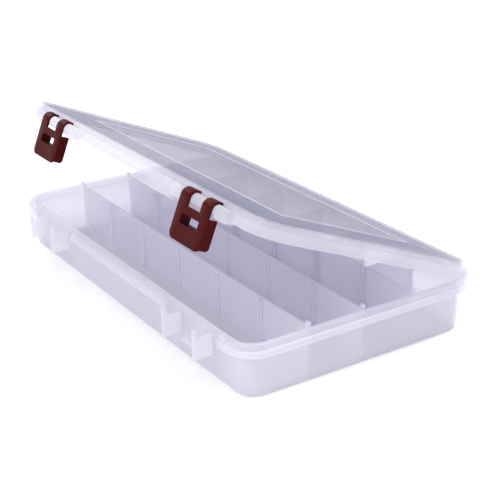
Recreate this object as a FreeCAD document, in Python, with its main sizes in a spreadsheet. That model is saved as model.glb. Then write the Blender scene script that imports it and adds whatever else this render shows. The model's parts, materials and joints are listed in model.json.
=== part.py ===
# Compartment organizer box: a moulded tray, a hinged lid held ajar, two snap latches and lift-out dividers.
# Millimetres. X runs along the length, +Y towards the hinge, +Z up. The origin is under the middle of the tray.
# Every piece is drawn with the lid closed, then the lid and latches are turned up about the hinge.
import FreeCAD, Part
import math
import os
import Sketcher

X_AXIS = FreeCAD.Vector(1, 0, 0)
Y_AXIS = FreeCAD.Vector(0, 1, 0)

# alias, value, meaning
SIZES = [
    ("length", 355.6, "overall length of the lid"),
    ("width", 198.6, "overall width of the lid"),
    ("overhang", 1.05, "lid skirt beyond the tray bead, each side"),
    ("corner", 21.5, "plan radius of the lid corners"),
    ("rim_top", 39.2, "top of the tray rim"),
    ("rim_inset", 2.5, "rim face behind the bead face"),
    ("bead_low", 31.3, "lower edge of the bead"),
    ("bead_top", 35.4, "shoulder that the lid skirt comes down to"),
    ("bead_skin", 1.8, "thickness of the bead's hanging lip"),
    ("wall_inset", 5.4, "tray wall behind the bead face at the top"),
    ("wall", 1.6, "tray wall thickness"),
    ("floor_skin", 1.8, "tray floor thickness"),
    ("draft", 1.8, "draft of the tray walls, degrees"),
    ("foot_round", 2.5, "radius along the bottom edge"),
    ("partition", 1.8, "thickness of the fixed partitions"),
    ("tab_long", 3.2, "length of the tab at each end of a partition"),
    ("tab_rise", 3.2, "height of that tab above the rim"),
    ("row_pitch", 44.2, "spacing of the fixed partitions"),
    ("row_shift", 1.3, "middle partition behind the centre line"),
    ("slot_pitch", 57.0, "spacing of the divider slots"),
    ("slot_gap", 2.2, "clear width of a divider slot"),
    ("slot_rib", 1.6, "thickness and height of a slot rib"),
    ("divider", 1.6, "thickness of a lift-out divider"),
    ("divider_play", 0.4, "divider clearance at its ends"),
    ("divider_drop", 0.6, "divider top below the rim"),
    ("skirt_low", 35.6, "lower edge of the lid skirt"),
    ("skirt_skin", 2.0, "thickness of the lid skirt"),
    ("ledge_top", 42.6, "top of the step round the lid"),
    ("crease_inset", 4.2, "upper step of the lid behind its skirt"),
    ("crease_rear", 8.2, "the same at the hinge side"),
    ("lid_top", 46.6, "top of the lid"),
    ("lid_skin", 1.6, "thickness of the lid plate"),
    ("panel_drop", 1.2, "centre panel below the lid's edge"),
    ("panel_half", 135.5, "half length of the centre panel"),
    ("panel_front", -55.2, "front edge of the centre panel"),
    ("panel_rear", 58.5, "rear edge of the centre panel"),
    ("bead_width", 1.8, "width of the raised line round the panel"),
    ("bead_rise", 0.7, "height of the raised line round the panel"),
    ("hinge_y", 99.2, "hinge axis"),
    ("hinge_z", 37.9, "hinge axis"),
    ("hinge_pin", 2.0, "radius of the hinge pins"),
    ("hinge_fit", 0.06, "radial clearance of the hinge knuckles"),
    ("knuckle", 3.4, "outer radius of a hinge knuckle"),
    ("knuckle_long", 20.0, "length of a hinge knuckle"),
    ("ear", 3.0, "thickness and radius of a hinge ear"),
    ("ear_gap", 0.4, "gap between a knuckle and its ears"),
    ("hinge_pitch", 118.0, "spacing of the hinges"),
    ("hinge_room", 3.9, "swept radius kept clear round the hinge"),
    ("open_angle", 22.8, "lid opening at rest, degrees"),
    ("latch_x", 111.0, "middle of each latch from the centre"),
    ("pin_y", -100.0, "latch pin axis"),
    ("pin_z", 38.6, "latch pin axis"),
    ("pin_round", 4.4, "radius of the latch pin"),
    ("pin_fit", 0.08, "radial clearance of the latch hooks"),
    ("hook_round", 6.0, "outer radius of the latch hooks"),
    ("hook_room", 6.5, "radius kept clear round the hooks"),
    ("latch_half", 18.8, "half width of a latch"),
    ("latch_room", 19.6, "half width of the opening for a latch"),
    ("latch_low", 11.9, "underside of the latch's catch wall when closed"),
    ("lip_low", 9.4, "lower edge of the latch's finger lip when closed"),
    ("latch_heel", 4.0, "radius of the latch's lower rear edge"),
    ("latch_skin", 1.5, "thickness of the latch plate"),
    ("latch_deep", 8.0, "depth of the latch side walls"),
    ("latch_step", 31.9, "top of the latch side walls"),
    ("notch_half", 8.0, "half width of the gap between the hooks"),
    ("notch_low", 33.2, "bottom of the gap between the hooks"),
    ("slit_half", 10.5, "half width of the latch window"),
    ("slit_low", 21.2, "bottom of the latch window"),
    ("slit_top", 27.7, "top of the latch window"),
    ("tunnel_skin", 1.2, "thickness of the walls round the latch window"),
    ("latch_corner", 5.0, "radius of the lower latch corners"),
    ("boss_in", 21.9, "near end of a pin boss from the latch middle"),
    ("boss_out", 34.0, "far end of a pin boss from the latch middle"),
    ("guard_in", 19.5, "inner face of a guard rib from the latch middle"),
    ("guard_out", 21.3, "outer face of a guard rib from the latch middle"),
    ("guard_front", -108.2, "front edge of the guard ribs"),
    ("guard_low", 18.0, "lower edge of the guard ribs"),
    ("guard_prong", 3.0, "depth of the upright tip of a guard rib"),
    ("guard_top", 39.2, "top of the guard ribs"),
    ("guard_step", 33.2, "guard rib height under the latch pin"),
    ("lug_front", -97.4, "front of the catch lug"),
    ("lug_half", 14.0, "half length of the catch lug"),
    ("lug_rise", 3.0, "height of the catch lug"),
]
PARTITIONS = (-1, 0, 1)
SLOTS = (-2, -1, 0, 1, 2)
HINGES = (-1, 0, 1)

doc = FreeCAD.newDocument("organizer")
sheet = doc.addObject("Spreadsheet::Sheet", "Sizes")
for row, (alias, value, meaning) in enumerate(SIZES, start=1):
    sheet.set(f"A{row}", alias)
    sheet.set(f"B{row}", str(value))
    sheet.set(f"C{row}", meaning)
    sheet.setAlias(f"B{row}", alias)
doc.recompute()
ALIASES = sorted((alias for alias, _, _ in SIZES), key=len, reverse=True)


def sized(text):
    """Turns the sizes named in a formula into references to the spreadsheet."""
    words = []
    word = ""
    for letter in str(text) + " ":
        if letter.isalnum() or letter == "_":
            word += letter
        else:
            words.append("Sizes." + word if word in ALIASES else word)
            words.append(letter)
            word = ""
    return "".join(words).strip()


def bind(thing, **formulas):
    for prop, formula in formulas.items():
        thing.setExpression(prop.replace("__", "."), sized(formula))


def place(thing, x, y, z):
    bind(thing, Placement__Base__x=x, Placement__Base__y=y, Placement__Base__z=z)


def box(name, x, y, z):
    """A block between two formulas along each axis."""
    block = doc.addObject("Part::Box", name)
    bind(block, Length=f"({x[1]}) - ({x[0]})", Width=f"({y[1]}) - ({y[0]})", Height=f"({z[1]}) - ({z[0]})")
    place(block, x[0], y[0], z[0])
    return block


def rod(name, radius, x, y, z):
    """A cylinder along X."""
    bar = doc.addObject("Part::Cylinder", name)
    bar.Placement.Rotation = FreeCAD.Rotation(Y_AXIS, 90)
    bind(bar, Radius=radius, Height=f"({x[1]}) - ({x[0]})")
    place(bar, x[0], y, z)
    return bar


def slab(name, half_x, half_y, radius, low, high, draft="0", shift="0"):
    """A plate with rounded corners, centred on X = 0 and Y = shift; a positive draft widens it upwards."""
    outline = doc.addObject("Sketcher::SketchObject", name + "_outline")
    side, end, bend = 100.0, 50.0, 10.0
    quarters = []
    corners = ((1, 1), (-1, 1), (-1, -1), (1, -1))
    for turn, (along, across) in enumerate(corners):
        centre = FreeCAD.Vector(along * (side - bend), across * (end - bend), 0)
        circle = Part.Circle(centre, FreeCAD.Vector(0, 0, 1), bend)
        quarters.append(outline.addGeometry(Part.ArcOfCircle(circle, turn * math.pi / 2, (turn + 1) * math.pi / 2)))
    lines = []
    for turn in range(4):
        start = outline.getPoint(quarters[turn], 2)
        stop = outline.getPoint(quarters[(turn + 1) % 4], 1)
        lines.append(outline.addGeometry(Part.LineSegment(start, stop)))
        outline.addConstraint(Sketcher.Constraint("Tangent", quarters[turn], 2, lines[turn], 1))
        outline.addConstraint(Sketcher.Constraint("Tangent", lines[turn], 2, quarters[(turn + 1) % 4], 1))
    outline.addConstraint(Sketcher.Constraint("Horizontal", lines[0]))
    outline.addConstraint(Sketcher.Constraint("Vertical", lines[1]))
    outline.addConstraint(Sketcher.Constraint("Horizontal", lines[2]))
    outline.addConstraint(Sketcher.Constraint("Vertical", lines[3]))
    for other in quarters[1:]:
        outline.addConstraint(Sketcher.Constraint("Equal", quarters[0], other))
    bends = outline.addConstraint(Sketcher.Constraint("Radius", quarters[0], bend))
    outline.addConstraint(Sketcher.Constraint("Symmetric", lines[0], 1, lines[2], 1, -1, 1))
    wide = outline.addConstraint(Sketcher.Constraint("DistanceX", -1, 1, lines[3], 1, side))
    deep = outline.addConstraint(Sketcher.Constraint("DistanceY", -1, 1, lines[0], 1, end))
    outline.setExpression(f"Constraints[{bends}]", sized(radius))
    outline.setExpression(f"Constraints[{wide}]", sized(half_x))
    outline.setExpression(f"Constraints[{deep}]", sized(half_y))
    place(outline, "0", shift, low)
    solid = doc.addObject("Part::Extrusion", name)
    solid.Base = outline
    solid.DirMode = "Custom"
    solid.Dir = FreeCAD.Vector(0, 0, 1)
    solid.Solid = True
    bind(solid, LengthFwd=f"({high}) - ({low})", TaperAngle=draft)
    return solid


def fuse(name, pieces):
    joined = doc.addObject("Part::MultiFuse", name)
    joined.Shapes = pieces
    joined.Refine = True
    return joined


def cut(name, body, pieces):
    tool = pieces[0] if len(pieces) == 1 else fuse(name + "_tools", pieces)
    rest = doc.addObject("Part::Cut", name)
    rest.Base = body
    rest.Tool = tool
    rest.Refine = True
    return rest


def common(name, body, tool):
    overlap = doc.addObject("Part::Common", name)
    overlap.Base = body
    overlap.Tool = tool
    return overlap


def rounded(name, body, radius, wanted):
    """Rounds the edges of body that the test picks out."""
    doc.recompute()
    fillet = doc.addObject("Part::Fillet", name)
    fillet.Base = body
    picked = [n for n, edge in enumerate(body.Shape.Edges, start=1) if wanted(edge)]
    fillet.Edges = [(n, size(radius), size(radius)) for n in picked]
    return fillet


def size(alias):
    return sheet.get(alias)


def lies_at(level):
    """A test for edges that lie wholly at one height."""
    return lambda edge: abs(edge.BoundBox.ZMin - level) < 0.01 and abs(edge.BoundBox.ZMax - level) < 0.01


def row_line(number):
    return f"row_shift + {number} * row_pitch"


# ---- tray ---------------------------------------------------------------------------------------------
TRAY_X = "length / 2 - overhang"
TRAY_Y = "width / 2 - overhang"
CORNER = "corner - overhang"
# how far the drafted wall leans in between the bead and the floor
LEAN = "bead_low * tan(draft * 1deg)"


def tray_slab(name, inset, low, high, draft="0"):
    return slab(name, f"{TRAY_X} - ({inset})", f"{TRAY_Y} - ({inset})", f"{CORNER} - ({inset})", low, high, draft)


def tray_tub():
    """The outside of the drafted walls, solid, with a rounded foot."""
    tub = tray_slab("tub", f"wall_inset + {LEAN}", "0", "rim_top", "draft")
    return rounded("tub_foot", tub, "foot_round", lies_at(0))


def tray_shell(tub):
    """Drafted walls with a shouldered rim and a hanging bead."""
    rim = tray_slab("rim", "rim_inset", "bead_low", "rim_top")
    bead = tray_slab("bead", "0", "bead_low", "bead_top")
    solid = fuse("tray_solid", [tub, rim, bead])
    groove = cut("bead_hollow",
                 tray_slab("bead_hollow_outer", "bead_skin", "bead_low - 1", "bead_top - bead_skin"),
                 [tray_slab("bead_hollow_inner", "wall_inset", "bead_low - 2", "rim_top")])
    inside = tray_slab("inside", f"wall_inset + wall + {LEAN}", "floor_skin", "rim_top + 1", "draft")
    inside = rounded("inside_foot", inside, "foot_round", lies_at(size("floor_skin")))
    return cut("tray_shell", solid, [groove, inside])


def slot_ribs():
    """Pairs of upright ribs that hold the lift-out dividers, on both walls and on every partition face."""
    ribs, ends = [], []
    lines = [row_line(n) for n in PARTITIONS]
    for column in SLOTS:
        for side in (-1, 1):
            near = f"slot_pitch * {column} + {side} * slot_gap / 2"
            far = f"slot_pitch * {column} + {side} * (slot_gap / 2 + slot_rib)"
            x = (near, far) if side > 0 else (far, near)
            z = ("floor_skin / 2", "rim_top - 2 * divider_drop")
            name = f"rib_{column}_{side}"
            for count, line in enumerate(lines):
                reach = "partition / 2 + slot_rib"
                ribs.append(box(f"{name}_row_{count}", x, (f"{line} - ({reach})", f"{line} + {reach}"), z))
            depth = f"{TRAY_Y} - wall_inset - wall - slot_rib - 2 * ({LEAN})"
            ends.append(box(f"{name}_front", x, (f"-({TRAY_Y}) + wall_inset", f"-({depth})"), z))
            ends.append(box(f"{name}_rear", x, (depth, f"{TRAY_Y} - wall_inset"), z))
    between = tray_slab("between_wall_ribs", f"wall_inset + wall + slot_rib + {LEAN}", "0", "rim_top + 1", "draft")
    return ribs + [cut("wall_ribs", fuse("wall_ribs_uncut", ends), [between])]


def partitions():
    walls = []
    for number in PARTITIONS:
        line = row_line(number)
        walls.append(box(f"partition_{number}",
                         (f"-({TRAY_X}) + wall_inset", f"{TRAY_X} - wall_inset"),
                         (f"{line} - partition / 2", f"{line} + partition / 2"),
                         ("floor_skin / 2", "rim_top")))
    return walls


def partition_tabs():
    """Tabs on the ends of the partitions, standing above the rim inside the closed lid."""
    end = f"{TRAY_X} - wall_inset - wall"
    tabs = []
    for number in PARTITIONS:
        line = row_line(number)
        for hand in (-1, 1):
            near, far = f"{hand} * ({end} - tab_long)", f"{hand} * ({end} + 0.4)"
            tabs.append(box(f"tab_{number}_{hand}", (near, far) if hand > 0 else (far, near),
                            (f"{line} - partition / 2", f"{line} + partition / 2"),
                            ("rim_top - 2", "rim_top + tab_rise")))
    return tabs


def latch_seat(side):
    """Where a latch closes: what is cut from the rim, and the guard ribs and catch lug put there."""
    middle = f"latch_x * {side}"
    face = f"-({TRAY_Y}) + wall_inset"
    room = box(f"seat_room_{side}", (f"{middle} - boss_out - 0.6", f"{middle} + boss_out + 0.6"),
               (f"-({TRAY_Y}) - 1", f"{face} - 0.01"), ("bead_low - 1", "rim_top + 1"))
    added = [box(f"lug_{side}", (f"{middle} - lug_half", f"{middle} + lug_half"),
                 ("lug_front", f"{face} + wall / 2 + {LEAN}"), ("guard_low - lug_rise", "guard_low"))]
    for hand in (-1, 1):
        near, far = f"{middle} + {hand} * guard_in", f"{middle} + {hand} * guard_out"
        x = (near, far) if hand > 0 else (far, near)
        added.append(box(f"guard_{side}_{hand}", x, ("guard_front", f"{face} + wall / 2 + {LEAN} / 2"),
                         ("guard_low", "guard_step")))
        added.append(box(f"guard_tip_{side}_{hand}", x, ("guard_front", "guard_front + guard_prong"),
                         ("guard_low", "guard_top")))
    return room, added


def hinge_ends(number):
    """The X range of a knuckle and of the ears either side of it."""
    middle = f"hinge_pitch * {number}"
    knuckle = (f"{middle} - knuckle_long / 2", f"{middle} + knuckle_long / 2")
    ears = (f"{middle} - knuckle_long / 2 - ear_gap - ear", f"{middle} + knuckle_long / 2 + ear_gap + ear")
    return knuckle, ears


def tray_hinge(number):
    """Two ears and the pin between them, and the room cut from the rim for the knuckle."""
    knuckle, ears = hinge_ends(number)
    room = box(f"knuckle_room_{number}", (f"{knuckle[0]} - ear_gap", f"{knuckle[1]} + ear_gap"),
               ("hinge_y - hinge_room", "hinge_y + hinge_room"), ("bead_low - 1", "rim_top + 1"))
    pieces = [rod(f"hinge_pin_{number}", "hinge_pin", ears, "hinge_y", "hinge_z")]
    for start, stop in ((ears[0], f"{ears[0]} + ear"), (f"{ears[1]} - ear", ears[1])):
        tag = len(pieces)
        pieces.append(rod(f"ear_{number}_{tag}", "ear", (start, stop), "hinge_y", "hinge_z"))
        pieces.append(box(f"ear_root_{number}_{tag}", (start, stop),
                          (f"{TRAY_Y} - bead_skin", "hinge_y"), ("bead_low + 1", "hinge_z - 1.6")))
    return room, pieces


def make_tray():
    rooms, added = [], []
    for side in (-1, 1):
        room, pieces = latch_seat(side)
        rooms.append(room)
        added += pieces
    for number in HINGES:
        room, pieces = tray_hinge(number)
        rooms.append(room)
        added += pieces
    tub = tray_tub()
    shell = cut("tray_trimmed", tray_shell(tub), rooms)
    fittings = common("tray_fittings", fuse("partitions_and_ribs", partitions() + slot_ribs()), tub)
    whole = fuse("tray", [shell, fittings] + added + partition_tabs())
    whole.Label = "base_tray"
    return whole


# ---- lift-out dividers --------------------------------------------------------------------------------
def make_divider(column):
    """A plate that drops into the slots of the rearmost row, shaped to the drafted wall."""
    number = SLOTS.index(column) + 1
    line = row_line(1)
    plate = box(f"divider_plate_{number}",
                (f"slot_pitch * {column} - divider / 2", f"slot_pitch * {column} + divider / 2"),
                (f"{line} + partition / 2 + divider_play", TRAY_Y), ("floor_skin", "rim_top - divider_drop"))
    bay = tray_slab(f"divider_bay_{number}", f"wall_inset + wall + divider_play + {LEAN}", "floor_skin",
                    "rim_top + 1", "draft")
    bay = rounded(f"divider_bay_foot_{number}", bay, "foot_round", lies_at(size("floor_skin")))
    whole = common(f"divider_{number}", plate, bay)
    whole.Label = f"divider_{number}"
    return whole


# ---- lid ----------------------------------------------------------------------------------------------
def lid_slab(name, inset, low, high):
    return slab(name, f"length / 2 - ({inset})", f"width / 2 - ({inset})", f"corner - ({inset})", low, high)


def dome_slab(name, inset, low, high):
    """The raised middle of the lid, which stops further from the hinge than from the other edges."""
    return slab(name, f"length / 2 - crease_inset - ({inset})",
                f"width / 2 - (crease_inset + crease_rear) / 2 - ({inset})",
                f"corner - crease_inset - ({inset})", low, high, shift="(crease_inset - crease_rear) / 2")


def panel_hollow(name, drop):
    """A shallow hollow whose four sides slope from the lid's edge down to the centre panel, with mitred corners."""
    edge = size("crease_inset") + size("lid_skin")
    edge_x = size("length") / 2 - edge
    edge_front = edge - size("width") / 2
    edge_rear = size("width") / 2 - size("crease_rear") - size("lid_skin")
    top = size("lid_top") - drop
    low = top - size("panel_drop")
    rims = []
    for x, front, rear, z in ((edge_x, edge_front, edge_rear, top),
                              (size("panel_half"), size("panel_front"), size("panel_rear"), low)):
        corners = [(x, front), (x, rear), (-x, rear), (-x, front), (x, front)]
        rims.append(Part.makePolygon([FreeCAD.Vector(a, b, z) for a, b in corners]))
    hollow = doc.addObject("Part::Feature", name)
    hollow.Shape = Part.makeLoft(rims, True, True)
    return hollow


def panel_line():
    """The raised line round the centre panel."""
    outer = box("line_outer", ("-panel_half - bead_width / 2", "panel_half + bead_width / 2"),
                ("panel_front - bead_width / 2", "panel_rear + bead_width / 2"),
                ("lid_top - panel_drop - lid_skin / 2", "lid_top - panel_drop + bead_rise"))
    inner = box("line_inner", ("-panel_half + bead_width / 2", "panel_half - bead_width / 2"),
                ("panel_front + bead_width / 2", "panel_rear - bead_width / 2"),
                ("lid_top - 2 * lid_skin - panel_drop", "lid_top + 1"))
    return cut("panel_line", outer, [inner])


def latch_pin(side):
    """The pin a latch turns on, the bosses at its ends, and the opening in the skirt for the hooks."""
    middle = f"latch_x * {side}"
    across = (f"{middle} - latch_room", f"{middle} + latch_room")
    openings = [rod(f"hook_room_{side}", "hook_room", across, "pin_y", "pin_z"),
                box(f"hook_gap_{side}", across, ("pin_y - hook_room", "pin_y + hook_room"),
                    ("skirt_low - 1", "pin_z"))]
    pieces = [rod(f"latch_pin_{side}", "pin_round", (f"{middle} - boss_out", f"{middle} + boss_out"),
                  "pin_y", "pin_z")]
    for hand in (-1, 1):
        near, far = f"{middle} + {hand} * boss_in", f"{middle} + {hand} * boss_out"
        x = (near, far) if hand > 0 else (far, near)
        pieces.append(box(f"boss_{side}_{hand}", x, ("pin_y - pin_round", "-width / 2 + skirt_skin"),
                          ("pin_z - pin_round", "ledge_top")))
    return openings, pieces


def lid_hinge(number):
    """A knuckle with its arm, the bore for the tray's pin, and the room for the tray's ears."""
    knuckle, ears = hinge_ends(number)
    ring = rod(f"knuckle_{number}", "knuckle", knuckle, "hinge_y", "hinge_z")
    arm = box(f"knuckle_arm_{number}", knuckle, ("width / 2 - skirt_skin", "hinge_y + knuckle / 2"),
              ("hinge_z", "ledge_top"))
    bore = rod(f"knuckle_bore_{number}", "hinge_pin + hinge_fit", knuckle, "hinge_y", "hinge_z")
    room = [rod(f"ear_room_{number}_{tag}", "hinge_room", x, "hinge_y", "hinge_z")
            for tag, x in enumerate(((f"{ears[0]} - ear_gap", knuckle[0]), (knuckle[1], f"{ears[1]} + ear_gap")))]
    return [ring, arm], [bore] + room


def make_lid():
    skirt = lid_slab("skirt", "0", "skirt_low", "ledge_top")
    dome = dome_slab("dome", "0", "skirt_low", "lid_top")
    skirt_inside = lid_slab("skirt_inside", "skirt_skin", "skirt_low - 1", "ledge_top - lid_skin")
    dome_inside = dome_slab("dome_inside", "lid_skin", "skirt_low - 1", "lid_top - lid_skin")
    plate_under = panel_hollow("panel_underside", size("lid_skin"))
    cavity = fuse("lid_cavity", [skirt_inside, cut("dome_cavity", dome_inside, [plate_under])])
    shell = cut("lid_shell", fuse("lid_solid", [skirt, dome]), [cavity, panel_hollow("panel_top", 0.0)])
    openings, pins = [], []
    for side in (-1, 1):
        gaps, pieces = latch_pin(side)
        openings += gaps
        pins += pieces
    knuckles, bores = [], []
    for number in HINGES:
        rings, holes = lid_hinge(number)
        knuckles += rings
        bores += holes
    plain = cut("lid_plain", shell, openings)
    joined = fuse("lid_joined", [plain, panel_line()] + pins + knuckles)
    whole = cut("lid", joined, bores)
    whole.Label = "lid"
    return whole


# ---- latches ------------------------------------------------------------------------------------------
def make_latch(side):
    """A plate with two hooks over the lid's pin, side walls, a catch wall, a finger lip and a walled window."""
    name = "latch_left" if side < 0 else "latch_right"
    middle = f"latch_x * {side}"
    across = (f"{middle} - latch_half", f"{middle} + latch_half")
    front, back = "pin_y - hook_round", "pin_y - hook_round + latch_deep"
    tub = box(name + "_tub", across, (front, back), ("lip_low", "latch_step"))
    tub = rounded(name + "_tub_round", tub, "latch_corner",
                  lambda edge: edge.BoundBox.YLength > 1 and edge.BoundBox.ZMax < size("lip_low") + 0.01)
    heel = fuse(name + "_heel", [
        box(name + "_heel_front", across, (front, f"{back} - latch_heel"), ("lip_low", "latch_step")),
        box(name + "_heel_top", across, (front, back), ("lip_low + latch_heel", "latch_step")),
        rod(name + "_heel_round", "latch_heel", across, f"{back} - latch_heel", "lip_low + latch_heel")])
    hollow = box(name + "_hollow", (f"{across[0]} + latch_skin", f"{across[1]} - latch_skin"),
                 (f"{front} + latch_skin", f"{back} + 1"), ("latch_low + latch_skin", "latch_step + 1"))
    hollow = rounded(name + "_hollow_round", hollow, "latch_skin",
                     lambda edge: edge.BoundBox.YLength > 1
                     and edge.BoundBox.ZMax < size("latch_low") + size("latch_skin") + 0.01)
    lip_hollow = box(name + "_lip_hollow", (f"{across[0]} + latch_skin", f"{across[1]} - latch_skin"),
                     (f"{front} + latch_skin", f"{back} + 1"), ("lip_low - 1", "latch_low"))
    plate = box(name + "_plate", across, (front, f"{front} + latch_skin"), ("latch_step - 2", "pin_z"))
    ring = rod(name + "_ring", "hook_round", across, "pin_y", "pin_z")
    eye = rod(name + "_eye", "pin_round + pin_fit", across, "pin_y", "pin_z")
    below = box(name + "_below", across, ("pin_y - hook_round - 1", "pin_y + hook_round + 1"),
                ("pin_z - hook_round - 1", "pin_z"))
    behind = box(name + "_behind", across, ("pin_y + pin_round / 2", "pin_y + hook_round + 1"),
                 ("pin_z - 1", "pin_z + hook_round + 1"))
    hooks = cut(name + "_hooks", ring, [eye, below, behind])
    gap = box(name + "_gap", (f"{middle} - notch_half", f"{middle} + notch_half"),
              ("pin_y - hook_round - 1", "pin_y + hook_round + 1"), ("notch_low", "pin_z + hook_round + 1"))
    tunnel = box(name + "_tunnel",
                 (f"{middle} - slit_half - tunnel_skin", f"{middle} + slit_half + tunnel_skin"),
                 (f"{front} + latch_skin / 2", back), ("slit_low - tunnel_skin", "slit_top + tunnel_skin"))
    window = box(name + "_window", (f"{middle} - slit_half", f"{middle} + slit_half"),
                 (f"{front} - 1", f"{back} + 1"), ("slit_low", "slit_top"))
    shell = cut(name + "_shell", common(name + "_body", tub, heel), [hollow, lip_hollow])
    whole = cut(name, fuse(name + "_joined", [shell, plate, hooks, tunnel]), [gap, window])
    whole.Label = name
    return whole


def raise_with_lid(thing):
    """Turns a closed piece up about the hinge to the angle at rest."""
    angle = math.radians(size("open_angle"))
    y, z = size("hinge_y"), size("hinge_z")
    turned_y = y * math.cos(angle) + z * math.sin(angle)
    turned_z = z * math.cos(angle) - y * math.sin(angle)
    thing.Placement = FreeCAD.Placement(FreeCAD.Vector(0, y - turned_y, z - turned_z),
                                        FreeCAD.Rotation(X_AXIS, -size("open_angle")))


tray = make_tray()
lid = make_lid()
latches = [make_latch(side) for side in (-1, 1)]
dividers = [make_divider(column) for column in SLOTS]
doc.recompute()
for piece in [lid] + latches:
    raise_with_lid(piece)
doc.recompute()

for thing in doc.Objects:
    if "Invalid" in thing.State or "Error" in thing.State:
        raise SystemExit(f"{thing.Name} failed: {thing.State}")
os.makedirs("parts", exist_ok=True)
for piece in [tray, lid] + latches + dividers:
    shape = piece.Shape
    if shape.isNull() or not shape.isValid() or len(shape.Solids) != 1:
        raise SystemExit(f"{piece.Label} is not one valid solid")
    shape.exportStep(f"parts/{piece.Label}.step")
    print(piece.Label, round(shape.Volume / 1000, 2), "cm3", [round(v, 2) for v in (
        shape.BoundBox.XMin, shape.BoundBox.XMax, shape.BoundBox.YMin, shape.BoundBox.YMax,
        shape.BoundBox.ZMin, shape.BoundBox.ZMax)])
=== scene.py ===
# Compartment organizer in frosted plastic with maroon latches, on a pale studio sweep.
import json
import math

import bmesh
import bpy
from mathutils import Matrix, Vector


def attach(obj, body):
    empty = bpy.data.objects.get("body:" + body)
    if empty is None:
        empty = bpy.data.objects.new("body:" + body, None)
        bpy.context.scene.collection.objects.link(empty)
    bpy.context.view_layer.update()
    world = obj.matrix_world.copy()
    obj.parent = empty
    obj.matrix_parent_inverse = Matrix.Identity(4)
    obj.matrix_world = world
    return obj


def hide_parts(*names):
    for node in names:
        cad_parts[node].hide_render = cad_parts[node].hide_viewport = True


MM = 0.001

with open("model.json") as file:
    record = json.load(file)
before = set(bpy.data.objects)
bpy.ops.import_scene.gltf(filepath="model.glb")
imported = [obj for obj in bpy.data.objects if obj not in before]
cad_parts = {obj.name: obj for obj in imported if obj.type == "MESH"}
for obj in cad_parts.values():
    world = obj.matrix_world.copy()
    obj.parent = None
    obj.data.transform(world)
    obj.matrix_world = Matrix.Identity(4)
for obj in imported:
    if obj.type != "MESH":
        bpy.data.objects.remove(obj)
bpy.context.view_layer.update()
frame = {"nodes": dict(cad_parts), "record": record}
nodes = frame["nodes"]


# ---- materials ----------------------------------------------------------------------------------------
def linear(code, alpha=1.0):
    """An sRGB hex colour as the linear values that shaders take."""
    parts = [int(code[i:i + 2], 16) / 255 for i in (1, 3, 5)]
    return [c / 12.92 if c <= 0.04045 else ((c + 0.055) / 1.055) ** 2.4 for c in parts] + [alpha]


def new_material(name):
    material = bpy.data.materials.new(name)
    material.use_nodes = True
    material.node_tree.nodes.clear()
    return material


def add(material, kind, links=(), stops=(), **settings):
    """Adds a node. Settings are its own properties, or its sockets by name; links are (socket, output)
    pairs, and stops are the two (position, hex colour) ends of a colour ramp."""
    node = material.node_tree.nodes.new(kind)
    if stops:
        for element, (position, code) in zip(node.color_ramp.elements, stops):
            element.position = position
            element.color = linear(code)
    sockets = {}
    for key, value in settings.items():
        if hasattr(node, key):
            setattr(node, key, value)
        else:
            sockets[key.replace("_", " ").title()] = value
    for key, value in sockets.items():
        node.inputs[key].default_value = value
    for socket, output in links:
        material.node_tree.links.new(output, node.inputs[socket])
    return node


def grain(material, place, size_mm, detail=3.0, stretch=(1, 1, 1), distortion=0.0):
    """Noise whose features are about size_mm across, longer along an axis that is stretched."""
    mapping = add(material, "ShaderNodeMapping", [("Vector", place)])
    mapping.inputs["Scale"].default_value = [1 / s for s in stretch]
    noise = add(material, "ShaderNodeTexNoise", [("Vector", mapping.outputs["Vector"])],
                scale=1 / (size_mm * MM), detail=detail, distortion=distortion)
    return noise.outputs["Fac"]


def frosted_plastic(name, shade_low, shade_high, glow,
                    see_through, translucency, roughness, gloss_mottle, polish):
    """Polypropylene, injection moulded 1.6 mm thick, milky, or darkened grey as a painted reflection: lit
    through, with a soft sheen.
    The cloudiness follows the flow of the melt, and the tool's fine blasting breaks up the shine."""
    material = new_material(name)
    place = add(material, "ShaderNodeTexCoord").outputs["Object"]
    cloud = grain(material, place, 55, detail=2.0, distortion=0.4)
    flow = grain(material, place, 9, detail=4.0, stretch=(6, 1, 1))
    blast = grain(material, place, 0.9, detail=2.0)
    mixed = add(material, "ShaderNodeMix", [("A", cloud), ("B", flow)], data_type="FLOAT")
    mixed.inputs["Factor"].default_value = 0.3
    colour = add(material, "ShaderNodeValToRGB", [("Fac", mixed.outputs["Result"])],
                 stops=((0.3, shade_low), (0.7, shade_high)))
    rough = add(material, "ShaderNodeMapRange", [("Value", mixed.outputs["Result"])],
                to_min=roughness - gloss_mottle, to_max=roughness + gloss_mottle)
    # the blasting is about 0.05 mm deep on the tool; it is drawn coarser than it is so that it shows
    bump = add(material, "ShaderNodeBump", [("Height", blast)], strength=polish, distance=0.05 * MM)
    ripple = add(material, "ShaderNodeBump", [("Height", flow), ("Normal", bump.outputs["Normal"])],
                 strength=0.12, distance=0.25 * MM)
    skin = add(material, "ShaderNodeBsdfPrincipled",
               [("Base Color", colour.outputs["Color"]), ("Roughness", rough.outputs["Result"]),
                ("Normal", ripple.outputs["Normal"])])
    skin.inputs["IOR"].default_value = 1.49
    through = add(material, "ShaderNodeBsdfTranslucent", [("Normal", ripple.outputs["Normal"])])
    through.inputs["Color"].default_value = linear(glow)
    body = add(material, "ShaderNodeMixShader", [(1, skin.outputs["BSDF"]), (2, through.outputs["BSDF"])])
    body.inputs["Fac"].default_value = translucency
    clear = add(material, "ShaderNodeBsdfTransparent")
    clear.inputs["Color"].default_value = linear(glow)
    whole = add(material, "ShaderNodeMixShader", [(1, body.outputs["Shader"]), (2, clear.outputs["BSDF"])])
    whole.inputs["Fac"].default_value = see_through
    add(material, "ShaderNodeOutputMaterial", [("Surface", whole.outputs["Shader"])])
    return material


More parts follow.
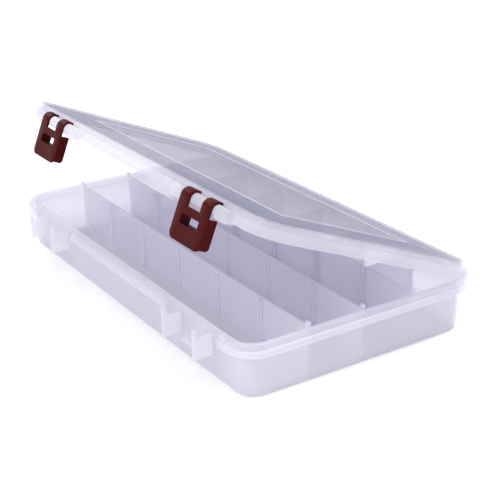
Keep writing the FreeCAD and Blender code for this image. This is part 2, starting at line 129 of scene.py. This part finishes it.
def maroon_plastic():
    """Opaque maroon polypropylene from a finely textured tool: satin, with a faint darker mottle."""
    material = new_material("maroon_moulded_plastic")
    place = add(material, "ShaderNodeTexCoord").outputs["Object"]
    mottle = grain(material, place, 3.0, detail=4.0)
    pebble = grain(material, place, 0.6, detail=2.0)
    colour = add(material, "ShaderNodeValToRGB", [("Fac", mottle)], stops=((0.3, "#3a0709"), (0.7, "#4e0f12")))
    rough = add(material, "ShaderNodeMapRange", [("Value", mottle)], to_min=0.30, to_max=0.46)
    bump = add(material, "ShaderNodeBump", [("Height", pebble)], strength=0.35, distance=0.06 * MM)
    skin = add(material, "ShaderNodeBsdfPrincipled",
               [("Base Color", colour.outputs["Color"]), ("Roughness", rough.outputs["Result"]),
                ("Normal", bump.outputs["Normal"])])
    skin.inputs["IOR"].default_value = 1.4
    skin.inputs["Specular IOR Level"].default_value = 0.08
    add(material, "ShaderNodeOutputMaterial", [("Surface", skin.outputs["BSDF"])])
    return material


def paper_floor():
    """Matte white sweep paper with a faint tooth."""
    material = new_material("white_sweep_paper")
    place = add(material, "ShaderNodeTexCoord").outputs["Object"]
    fibre = grain(material, place, 2.5, detail=3.0)
    colour = add(material, "ShaderNodeValToRGB", [("Fac", fibre)], stops=((0.3, "#f7f7f5"), (0.7, "#fbfbfa")))
    skin = add(material, "ShaderNodeBsdfPrincipled", [("Base Color", colour.outputs["Color"])])
    skin.inputs["Roughness"].default_value = 0.9
    skin.inputs["Specular IOR Level"].default_value = 0.1
    add(material, "ShaderNodeOutputMaterial", [("Surface", skin.outputs["BSDF"])])
    return material


tray_plastic = frosted_plastic("frosted_tray_polypropylene", "#f2f1f8", "#f9f8fc", "#f8f7fc",
                               see_through=0.45, translucency=0.55, roughness=0.30, gloss_mottle=0.06,
                               polish=0.3)
skirt_plastic = frosted_plastic("glossy_lid_polypropylene", "#f2f1f7", "#f8f7fb", "#f7f6fb",
                                see_through=0.55, translucency=0.5, roughness=0.16, gloss_mottle=0.04,
                                polish=0.15)
# the raised lid panel's darker grey is a painted darker reflection on the same clear lid plastic as the skirt
painted_reflection_window_plastic = frosted_plastic("window_polypropylene_painted_reflection", "#a0a0b2", "#acacbc", "#d2d2dd",
                                 see_through=0.58, translucency=0.3, roughness=0.14, gloss_mottle=0.04,
                                 polish=0.12)
divider_plastic = frosted_plastic("frosted_divider_polypropylene", "#f4f4f8", "#f9f9fc", "#fbfbfe",
                                  see_through=0.45, translucency=0.55, roughness=0.30, gloss_mottle=0.05,
                                  polish=0.3)
latch_plastic = maroon_plastic()


# ---- pieces with rounded edges ------------------------------------------------------------------------
hinge_joint = next(joint for joint in frame["record"]["behaviour"]["joints"] if joint["name"] == "lid_hinge")
HINGE = Vector(hinge_joint["pos_m"])
tilt = -math.radians(hinge_joint["range_deg"][0])
LID_UP = Vector((0, math.sin(tilt), math.cos(tilt)))
# heights above the hinge, square to the lid
LEDGE_RISE = 5.0 * MM
LINE_RISE = 8.2 * MM


def on_lid_window(face):
    """The lid's raised top, outside and inside: flat to the lid, above the ledge, and not the raised line.
    These faces take the darker grey copy of the lid plastic, a painted reflection.
    """
    flat = abs(face.normal.dot(LID_UP)) > 0.9
    rises = [LID_UP.dot(corner.co - HINGE) for corner in face.verts]
    on_line = all(abs(rise - LINE_RISE) < 0.1 * MM for rise in rises)
    return flat and min(rises) > LEDGE_RISE and not on_line


WELD_GAP = 0.002 * MM
FLAT_JOIN = math.radians(1)
SHARP_EDGE = math.radians(35)


def rounded_copy(node, name, radius, segments, materials, in_second):
    """The CAD piece with its sharp edges rounded, as the moulding has them, in one finish or two."""
    mesh = bpy.data.meshes.new(name)
    bm = bmesh.new()
    bm.from_mesh(nodes[node].data)
    bmesh.ops.remove_doubles(bm, verts=bm.verts, dist=WELD_GAP)
    bmesh.ops.dissolve_limit(bm, angle_limit=FLAT_JOIN, verts=bm.verts, edges=bm.edges)
    for face in bm.faces:
        face.smooth = True
        face.material_index = int(in_second(face))
    bm.to_mesh(mesh)
    bm.free()
    thing = bpy.data.objects.new(name, mesh)
    bpy.context.scene.collection.objects.link(thing)
    for material in materials:
        mesh.materials.append(material)
    bevel = thing.modifiers.new("rounded_edges", "BEVEL")
    bevel.width = radius
    bevel.segments = segments
    bevel.limit_method = "ANGLE"
    bevel.angle_limit = SHARP_EDGE
    bevel.harden_normals = True
    return thing


def stand_in(node, name, body, slot, radius, segments, *materials, in_second=lambda face: False):
    """A rounded copy that takes the CAD piece's place on its body."""
    piece = rounded_copy(node, name, radius, segments, materials, in_second)
    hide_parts(node)
    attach(piece, body)


stand_in("base_tray", "frosted_tray", "tray", "tray", 0.4 * MM, 2, tray_plastic)
# the lid's top panel faces take the second, darker grey plastic: a painted darker reflection on the skirt's
# own plastic
stand_in("lid", "glossy_lid", "lid", "lid", 0.5 * MM, 3, skirt_plastic, painted_reflection_window_plastic,
         in_second=on_lid_window)
for side in ("left", "right"):
    stand_in(f"latch_{side}", f"maroon_latch_{side}", f"latch_{side}", "latch", 0.35 * MM, 3, latch_plastic)
for number in range(1, 6):
    stand_in(f"divider_{number}", f"frosted_divider_{number}", f"divider_{number}", "divider", 0.3 * MM, 2,
             divider_plastic)


# ---- studio -------------------------------------------------------------------------------------------
def make_floor():
    mesh = bpy.data.meshes.new("sweep_floor")
    bm = bmesh.new()
    bmesh.ops.create_grid(bm, x_segments=8, y_segments=8, size=4.0)
    bm.to_mesh(mesh)
    bm.free()
    floor = bpy.data.objects.new("sweep_floor", mesh)
    bpy.context.scene.collection.objects.link(floor)
    mesh.materials.append(paper_floor())


def softbox(name, location, aim, size, power, colour="#ffffff"):
    light = bpy.data.lights.new(name, "AREA")
    light.shape = "RECTANGLE"
    light.size, light.size_y = size
    light.energy = power
    light.color = linear(colour)[:3]
    lamp = bpy.data.objects.new(name, light)
    lamp.location = location
    lamp.rotation_euler = (Vector(aim) - Vector(location)).to_track_quat("-Z", "Y").to_euler()
    bpy.context.scene.collection.objects.link(lamp)


def make_studio():
    world = bpy.data.worlds.new("studio")
    bpy.context.scene.world = world
    world.use_nodes = True
    world.node_tree.nodes["Background"].inputs["Color"].default_value = linear("#ffffff")
    world.node_tree.nodes["Background"].inputs["Strength"].default_value = 0.88
    softbox("top_softbox", (0.45, 1.0, 1.4), (0, 0, 0.05), (0.5, 0.5), 13)
    softbox("front_softbox", (0.15, -1.3, 1.1), (0, 0, 0.05), (0.9, 0.5), 9)
    softbox("edge_softbox", (-1.4, -0.15, 1.1), (0, 0, 0.05), (0.3, 0.6), 4)
    bpy.context.scene.view_settings.view_transform = "Standard"


def make_camera():
    """Three-quarter view over the right front corner, as from eye height at a table."""
    yaw, pitch, roll = math.radians(57.59), math.radians(22.70), math.radians(-1.40)
    camera = bpy.data.cameras.new("camera")
    camera.sensor_width = 36
    camera.lens = 82.86
    camera.clip_start = 0.01
    thing = bpy.data.objects.new("camera", camera)
    turn = (Matrix.Rotation(yaw, 4, "Z") @ Matrix.Rotation(math.pi / 2 - pitch, 4, "X")
            @ Matrix.Rotation(roll, 4, "Z"))
    thing.matrix_world = Matrix.Translation((0.7106, -0.4301, 0.3716)) @ turn
    bpy.context.scene.collection.objects.link(thing)
    bpy.context.scene.camera = thing


make_floor()
make_studio()
make_camera()
